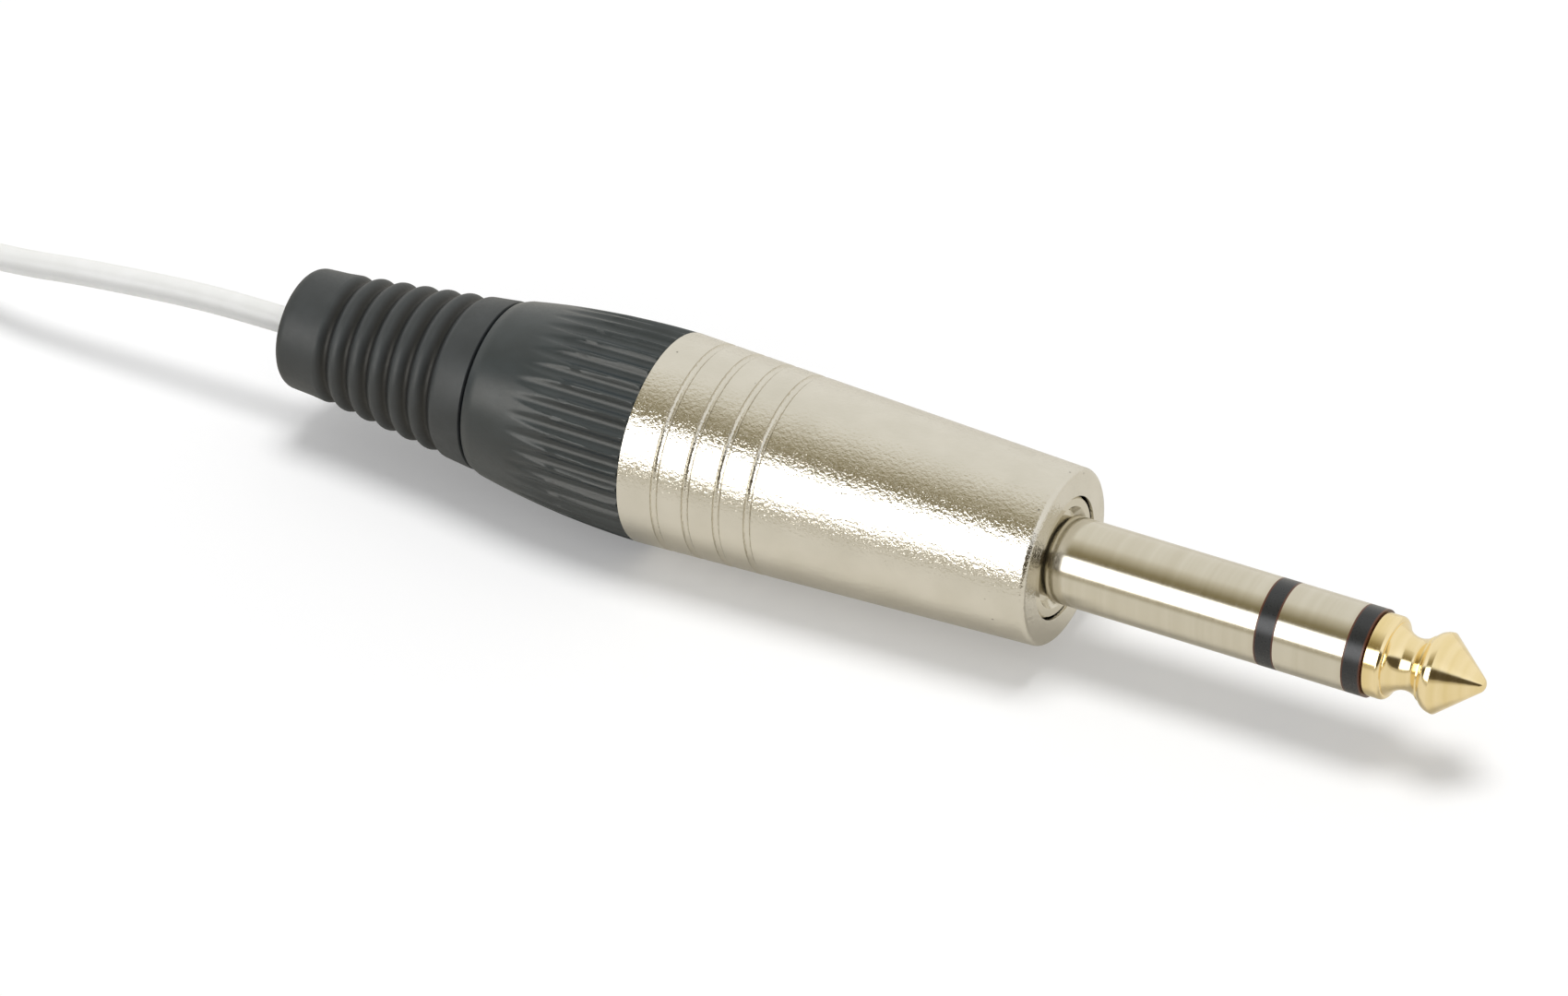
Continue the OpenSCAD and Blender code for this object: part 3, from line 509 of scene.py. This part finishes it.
# %% Turned metals
def turned_plate(name, dark, light, smoothest, roughest, ring_depth):
    material, tree, output, in_mm = new_finish(name)
    squeezed = add(tree, "ShaderNodeVectorMath", {0: in_mm, 1: (1.0, 0.03, 0.03)}, operation="MULTIPLY").outputs[0]
    rings = add(tree, "ShaderNodeTexNoise",
                {"Vector": squeezed, "Scale": 6.5, "Detail": 4.0, "Roughness": 0.7}).outputs["Fac"]
    bands = add(tree, "ShaderNodeTexNoise", {"Vector": squeezed, "Scale": 1.2, "Detail": 2.0}).outputs["Fac"]
    tint = add(tree, "ShaderNodeValToRGB", {"Fac": bands}, [(0.3, dark), (0.7, light)]).outputs["Color"]
    rough = add(tree, "ShaderNodeMapRange", {"Value": rings, **near_middle(smoothest, roughest)}).outputs[0]
    ringed = add(tree, "ShaderNodeBump",
                 {"Height": rings, "Strength": 0.4, "Distance": ring_depth * MM}).outputs[0]
    shader = add(tree, "ShaderNodeBsdfPrincipled",
                 {"Base Color": tint, "Metallic": 1.0, "Roughness": rough, "Normal": ringed})
    tree.links.new(shader.outputs[0], output.inputs["Surface"])
    return material


# %% [markdown]
# ## Moulded plastics
# The nut is moulded in glass-filled nylon, the boot in a soft elastomer and the insulators in
# acetal. All share one recipe: a slow cloud in the colour, a fine grain in the relief from
# the mould's eroded steel, and a sheen that varies a little. Only their colours, grain and
# gloss differ, so one function makes them all.


# %% Plastics
def moulded(name, dark, light, gloss, grain_per_mm, grain_mm, coat=0.0, shine=(1, 1, 1)):
    material, tree, output, in_mm = new_finish(name)
    cloud = add(tree, "ShaderNodeTexNoise", {"Vector": in_mm, "Scale": 0.5, "Detail": 4.0}).outputs["Fac"]
    grain = add(tree, "ShaderNodeTexNoise",
                {"Vector": in_mm, "Scale": grain_per_mm, "Detail": 3.0, "Roughness": 0.6}).outputs["Fac"]
    tint = add(tree, "ShaderNodeValToRGB", {"Fac": cloud}, [(0.3, dark), (0.7, light)]).outputs["Color"]
    rough = add(tree, "ShaderNodeMapRange", {"Value": grain, **near_middle(gloss - 0.05, gloss + 0.05)}).outputs[0]
    grained = add(tree, "ShaderNodeBump", {"Height": grain, "Strength": 0.5, "Distance": grain_mm * MM}).outputs[0]
    shader = add(tree, "ShaderNodeBsdfPrincipled",
                 {"Base Color": tint, "Roughness": rough, "Normal": grained, "Coat Weight": coat,
                  "Coat Roughness": 0.3, "Specular Tint": (*shine, 1)})
    tree.links.new(shader.outputs[0], output.inputs["Surface"])
    return material


# %% [markdown]
# ## Painted shade in the boot's grooves
# The finish works out how deep each point lies below the boot's cone and mixes in a near black
# there: painted shade in the grooves.


# %% Boot finish
def elastomer_with_painted_groove_shade():
    material = moulded("soft_elastomer_painted_groove_shade", "#35393B", "#3D4143", 0.5, 4.0, 0.012, shine=(1, 0.95, 0.87))
    tree = material.node_tree
    shader = next(node for node in tree.nodes if node.type == "BSDF_PRINCIPLED")
    tint = shader.inputs["Base Color"].links[0].from_socket
    place = add(tree, "ShaderNodeTexCoord").outputs["Object"]
    parts = add(tree, "ShaderNodeSeparateXYZ", {0: place})
    across = add(tree, "ShaderNodeCombineXYZ", {"Y": parts.outputs["Y"], "Z": parts.outputs["Z"]}).outputs[0]
    radius = add(tree, "ShaderNodeVectorMath", {0: across}, operation="LENGTH").outputs["Value"]
    cone = add(tree, "ShaderNodeMapRange", {
        "Value": parts.outputs["X"], "From Min": (BOOT_END + COLLAR) * MM, "From Max": BOOT_FRONT * MM,
        "To Min": WAIST_R * MM, "To Max": BOOT_FRONT_R * MM}).outputs[0]
    depth = add(tree, "ShaderNodeMath", {0: cone, 1: radius}, operation="SUBTRACT").outputs[0]
    shade = add(tree, "ShaderNodeMapRange",
                {"Value": depth, "From Min": 0.08 * MM, "From Max": 0.42 * MM}, clamp=True).outputs[0]
    # Painted shade: the deeper a point lies in a groove, the nearer its colour comes to black.
    tint = add(tree, "ShaderNodeMix", {0: shade, 6: tint, 7: colour("#0B0F11")}, data_type="RGBA").outputs[2]
    tree.links.new(tint, shader.inputs["Base Color"])
    return material


# %% [markdown]
# ## Insulator bands
# The two dark bands on the shaft are turned flush with the metal. The lathe tool drags a
# little brown along both edges of each, so the finish is darkest in the middle of the band and
# has a thin reddish edge. Each band has its own middle, so each gets its own material.


# %% Insulator finish
def insulator_band(name, middle, half):
    material = moulded(name, "#202224", "#292B2D", 0.3, 6.0, 0.004)
    tree = material.node_tree
    shader = next(node for node in tree.nodes if node.type == "BSDF_PRINCIPLED")
    tint = shader.inputs["Base Color"].links[0].from_socket
    place = add(tree, "ShaderNodeTexCoord").outputs["Object"]
    x = add(tree, "ShaderNodeSeparateXYZ", {0: place}).outputs["X"]
    off = add(tree, "ShaderNodeMath", {0: x, 1: middle * MM}, operation="SUBTRACT").outputs[0]
    off = add(tree, "ShaderNodeMath", {0: off}, operation="ABSOLUTE").outputs[0]
    edge = add(tree, "ShaderNodeMapRange",
               {"Value": off, "From Min": (half - 0.16) * MM, "From Max": (half - 0.08) * MM}, clamp=True).outputs[0]
    tint = add(tree, "ShaderNodeMix", {0: edge, 6: tint, 7: colour("#5A3322")}, data_type="RGBA").outputs[2]
    tree.links.new(tint, shader.inputs["Base Color"])
    return material


# %% [markdown]
# ## The small metals inside
# The lugs are stamped from tinned brass, the drain wire is bare copper and the joints are
# soft solder. They show only when the plug is opened, but a part that is looked into should
# have them right. All three are one dull metal recipe with other colours.


# %% Small metals
def dull_metal(name, dark, light, low, high, per_mm):
    material, tree, output, in_mm = new_finish(name)
    cloud = add(tree, "ShaderNodeTexNoise",
                {"Vector": in_mm, "Scale": per_mm, "Detail": 4.0, "Roughness": 0.6}).outputs["Fac"]
    tint = add(tree, "ShaderNodeValToRGB", {"Fac": cloud}, [(0.3, dark), (0.7, light)]).outputs["Color"]
    rough = add(tree, "ShaderNodeMapRange", {"Value": cloud, **near_middle(low, high)}).outputs[0]
    uneven = add(tree, "ShaderNodeBump", {"Height": cloud, "Strength": 0.3, "Distance": 0.02 * MM}).outputs[0]
    shader = add(tree, "ShaderNodeBsdfPrincipled",
                 {"Base Color": tint, "Metallic": 1.0, "Roughness": rough, "Normal": uneven})
    tree.links.new(shader.outputs[0], output.inputs["Surface"])
    return material


# %% [markdown]
# ## Hook-and-loop fabric
# The tie is a narrow nylon strap with a face of tiny loops. The loops are drawn as a dense
# small noise with a deep bump, and sheen gives the soft light edge that cloth has.


# %% Tie finish
def loop_fabric():
    material, tree, output, in_mm = new_finish("nylon_loop_fabric")
    loops = add(tree, "ShaderNodeTexNoise",
                {"Vector": in_mm, "Scale": 3.2, "Detail": 4.0, "Roughness": 0.7}).outputs["Fac"]
    tint = add(tree, "ShaderNodeValToRGB", {"Fac": loops}, [(0.35, "#1B1C1E"), (0.65, "#37383B")]).outputs["Color"]
    looped = add(tree, "ShaderNodeBump", {"Height": loops, "Strength": 0.8, "Distance": 0.25 * MM}).outputs[0]
    shader = add(tree, "ShaderNodeBsdfPrincipled",
                 {"Base Color": tint, "Roughness": 0.85, "Normal": looped, "Sheen Weight": 0.5,
                  "Sheen Roughness": 0.5})
    tree.links.new(shader.outputs[0], output.inputs["Surface"])
    return material


# %% Finishes for the slots
finishes = {
    "nickel_shell": nickel_shell(),
    "nickel_shaft": turned_plate("nickel_plated_turned_brass", "#D3CDBD", "#DBD6C8", 0.12, 0.17, 0.006),
    "gold_plate": turned_plate("gold_plated_turned_brass", "#F2DDA6", "#FFEDC2", 0.1, 0.16, 0.003),
    "insulator": moulded("acetal_insulator", "#202224", "#292B2D", 0.3, 6.0, 0.004),
    "nut": moulded("glass_filled_nylon", "#2D3437", "#353C3F", 0.38, 5.0, 0.01, coat=0.15, shine=(1, 0.93, 0.82)),
    "boot": elastomer_with_painted_groove_shade(),
    "cord": moulded("white_pvc_jacket", "#EFEFEC", "#F4F4F2", 0.38, 2.5, 0.006),
    "jaws": moulded("black_nylon", "#1E1F21", "#27282A", 0.45, 4.0, 0.01),
    "liner": moulded("natural_polyethylene", "#D6D2C5", "#E0DDD2", 0.35, 2.0, 0.01),
    "washer_fibre": moulded("vulcanised_fibre", "#6E2A22", "#86382D", 0.6, 8.0, 0.02),
    "core_red": moulded("red_pvc_core", "#A8291F", "#B8352A", 0.4, 3.0, 0.005),
    "core_white": moulded("white_pvc_core", "#E4E2DB", "#ECEAE4", 0.4, 3.0, 0.005),
    "tinned_brass": dull_metal("tinned_brass", "#B7AE92", "#CBC3A9", 0.3, 0.45, 1.5),
    "solder": dull_metal("soft_solder", "#B9BABC", "#CDCED0", 0.25, 0.4, 2.5),
    "copper": dull_metal("bare_copper", "#B9764B", "#CB8A5E", 0.25, 0.4, 4.0),
    "tie": loop_fabric(),
}
print("finishes:", len(finishes))


# %% Give every piece its finish
def dress(obj, finish):
    """Puts a finish on every material slot of a piece."""
    if not obj.material_slots:
        obj.data.materials.append(None)
    for material_slot in obj.material_slots:
        material_slot.material = finish


for part in frame["record"]["subparts"]:
    dress(frame["nodes"][part["node"]], finishes[part["material_slot"]])
for piece, slot in ((white_cord, "cord"), (tie_strap, "tie")):
    dress(piece, finishes[slot])
for near, far in (nut_pieces, boot_pieces):
    slot = "nut" if near is nut_pieces[0] else "boot"
    dress(near, finishes[slot])
    dress(far, finishes[slot])

for node, behind, width in (("ring_insulator", "sleeve_contact", 1.45), ("tip_insulator", "ring_contact", 1.4)):
    rear = corners(behind)[1][0]
    middle = rear + width / 2
    dress(frame["nodes"][node], insulator_band("acetal_" + node, middle, width / 2))
    dress(frame["nodes"]["far_" + node], insulator_band("acetal_far_" + node, FAR_X - middle, width / 2))
print("dressed", len(frame["nodes"]), "nodes")

# %% [markdown]
# ## The table and the studio
# The plug lies on a white table in a light tent. A metal cylinder shows its whole
# surroundings as stripes, so the tent is drawn for what the metal mirrors: a short bright
# panel in front makes the white streak, a dark gap above it the brown band, and the rest is
# pale. Panel and gap end a little way along the plug. The walls of the grooves look past
# those ends, so the grooves show as thin lines, dark in the streak and bright in the band.
# The camera sees the table as pure white, and the table still keeps the plug's shadow. Only in
# reflections is the table painted greyer and browner further in front of the plug: a painted
# reflection that gives the metal a darker band low down.

# %% Table
TABLE_Z = corners("shell")[0][2] * MM
TABLE_SIZE = 3.0
bm = bmesh.new()
bmesh.ops.create_grid(bm, x_segments=4, y_segments=4, size=TABLE_SIZE)
table_mesh = bpy.data.meshes.new("white_table")
bm.to_mesh(table_mesh)
bm.free()
table = bpy.data.objects.new("white_table", table_mesh)
table.location.z = TABLE_Z - 0.00002
scene.collection.objects.link(table)

TABLE_GLOW, TABLE_SHADE = 0.25, 0.75
CARD_NEAR, CARD_FAR = -0.034, -0.07
material = bpy.data.materials.new("white_table_card")
material.use_nodes = True
tree = material.node_tree
tree.nodes.clear()
output = add(tree, "ShaderNodeOutputMaterial")
rays = add(tree, "ShaderNodeLightPath")
seen = add(tree, "ShaderNodeMath", {0: rays.outputs["Is Camera Ray"], 1: rays.outputs["Is Glossy Ray"]},
           operation="MAXIMUM").outputs[0]
seen = add(tree, "ShaderNodeMath", {0: seen, 1: rays.outputs["Is Transmission Ray"]}, operation="MAXIMUM").outputs[0]
place = add(tree, "ShaderNodeTexCoord").outputs["Object"]
depth = add(tree, "ShaderNodeSeparateXYZ", {0: place}).outputs["Y"]
# Painted reflection: as the metal mirrors it, the table turns from pale grey to brown between these two distances in
# front.
beyond = add(tree, "ShaderNodeMapRange", {"Value": depth, "From Min": CARD_NEAR, "From Max": CARD_FAR}).outputs[0]
painted_reflection_tone = add(tree, "ShaderNodeMix", {0: beyond, 6: colour("#E6E2D8"), 7: colour("#BDB6A4")},
               data_type="RGBA").outputs[2]
tone = add(tree, "ShaderNodeMix", {0: rays.outputs["Is Glossy Ray"], 6: (1, 1, 1, 1), 7: painted_reflection_tone},
           data_type="RGBA").outputs[2]
shade = add(tree, "ShaderNodeMix", {0: seen, 6: (0.85, 0.85, 0.85, 1), 7: (TABLE_SHADE,) * 3 + (1,)},
            data_type="RGBA").outputs[2]
card = add(tree, "ShaderNodeMix", {0: 1.0, 6: shade, 7: tone}, data_type="RGBA", blend_type="MULTIPLY").outputs[2]
diffuse = add(tree, "ShaderNodeBsdfDiffuse", {"Color": card})
strength = add(tree, "ShaderNodeMath", {0: seen, 1: TABLE_GLOW}, operation="MULTIPLY").outputs[0]
glow = add(tree, "ShaderNodeEmission", {"Color": tone, "Strength": strength})
both = add(tree, "ShaderNodeAddShader", {0: diffuse.outputs[0], 1: glow.outputs[0]})
tree.links.new(both.outputs[0], output.inputs["Surface"])
table_mesh.materials.append(material)
print("table at z", round(TABLE_Z / MM, 2), "mm")

# %% Tent
AMBIENT = 0.45
PANEL = 3.6
PANEL_ENDS = (-0.8, 0.1)
world = bpy.data.worlds.new("light_tent")
world.use_nodes = True
scene.world = world
tree = world.node_tree
tree.nodes.clear()
output = add(tree, "ShaderNodeOutputWorld")
direction = add(tree, "ShaderNodeTexCoord").outputs["Generated"]
parts = add(tree, "ShaderNodeSeparateXYZ", {0: direction})
forward = add(tree, "ShaderNodeMath", {0: parts.outputs["Y"], 1: -1.0}, operation="MULTIPLY").outputs[0]
height = add(tree, "ShaderNodeMath", {0: parts.outputs["Z"], 1: forward}, operation="ARCTAN2").outputs[0]
turn = add(tree, "ShaderNodeMapRange", {"Value": height, "From Min": -math.pi, "From Max": math.pi}).outputs[0]
along = add(tree, "ShaderNodeMapRange", {"Value": parts.outputs["X"], "From Min": -1.0, "From Max": 1.0}).outputs[0]


def at(degrees):
    """Where on the ramp this height lies: 0 is level in front of the plug, 90 overhead."""
    return (degrees + 180) / 360


middle_tent = add(tree, "ShaderNodeValToRGB", {"Fac": turn}, [
    (at(-6), "#CFC9BA"), (at(1), "#A89C80"), (at(6), "#FFFFFF"), (at(42), "#FFFFFF"), (at(47), "#7F7556"),
    (at(60), "#948A6C"), (at(82), "#D0CAB8"), (at(98), "#EEEBE2"), (at(115), "#F1EFE8"), (at(180), "#F4F2EC"),
]).outputs["Color"]
end_tent = add(tree, "ShaderNodeValToRGB", {"Fac": turn}, [
    (at(-4), "#CFC9BA"), (at(3), "#51493A"), (at(40), "#51493A"), (at(50), "#FFFFFF"), (at(90), "#F4F2EC"),
    (at(180), "#F4F2EC"),
]).outputs["Color"]
low_end, high_end = ((end + 1) / 2 for end in PANEL_ENDS)
inside = add(tree, "ShaderNodeValToRGB", {"Fac": along}, [
    (low_end - 0.02, 0.0), (low_end + 0.02, 1.0), (high_end - 0.02, 1.0), (high_end + 0.02, 0.0),
]).outputs["Color"]
tent = add(tree, "ShaderNodeMix", {0: inside, 6: end_tent, 7: middle_tent}, data_type="RGBA").outputs[2]
panel = add(tree, "ShaderNodeValToRGB", {"Fac": turn},
            [(at(2), 0.0), (at(6), 1.0), (at(40), 1.0), (at(44), 0.0)]).outputs["Color"]
lit = add(tree, "ShaderNodeMath", {0: panel, 1: inside}, operation="MULTIPLY").outputs[0]
strength = add(tree, "ShaderNodeMapRange", {"Value": lit, "To Min": 1.0, "To Max": PANEL}).outputs[0]
rays = add(tree, "ShaderNodeLightPath")
tent_light = add(tree, "ShaderNodeBackground", {"Color": tent, "Strength": strength}).outputs[0]
plain = add(tree, "ShaderNodeBackground", {"Color": (1, 1, 1, 1), "Strength": AMBIENT}).outputs[0]
white = add(tree, "ShaderNodeBackground", {"Color": (1, 1, 1, 1), "Strength": 1.0}).outputs[0]
for_gloss = add(tree, "ShaderNodeMixShader", {0: rays.outputs["Is Glossy Ray"], 1: plain, 2: tent_light}).outputs[0]
clear = add(tree, "ShaderNodeMath", {0: rays.outputs["Is Camera Ray"], 1: rays.outputs["Is Transmission Ray"]},
            operation="MAXIMUM").outputs[0]
for_camera = add(tree, "ShaderNodeMixShader", {0: clear, 1: for_gloss, 2: white}).outputs[0]
tree.links.new(for_camera, output.inputs["Surface"])
print("tent ready")

# %% [markdown]
# One broad soft lamp almost overhead gives the shadow, which hugs the plug. A sun lamp with a
# wide disc lights everything evenly. It is hidden from reflections, because the tent
# already says what the metal mirrors.

# %% Key light
KEY = 1.8
key_data = bpy.data.lights.new("overhead_key", "SUN")
key_data.energy = KEY
key_data.angle = math.radians(28)
key = bpy.data.objects.new("overhead_key", key_data)
key.rotation_mode = "QUATERNION"
key.rotation_quaternion = Vector((0.05, -0.05, -1.0)).to_track_quat("-Z", "Y")
key.visible_glossy = False
scene.collection.objects.link(key)

# %% [markdown]
# ## The end

# %% Finish
print("done")
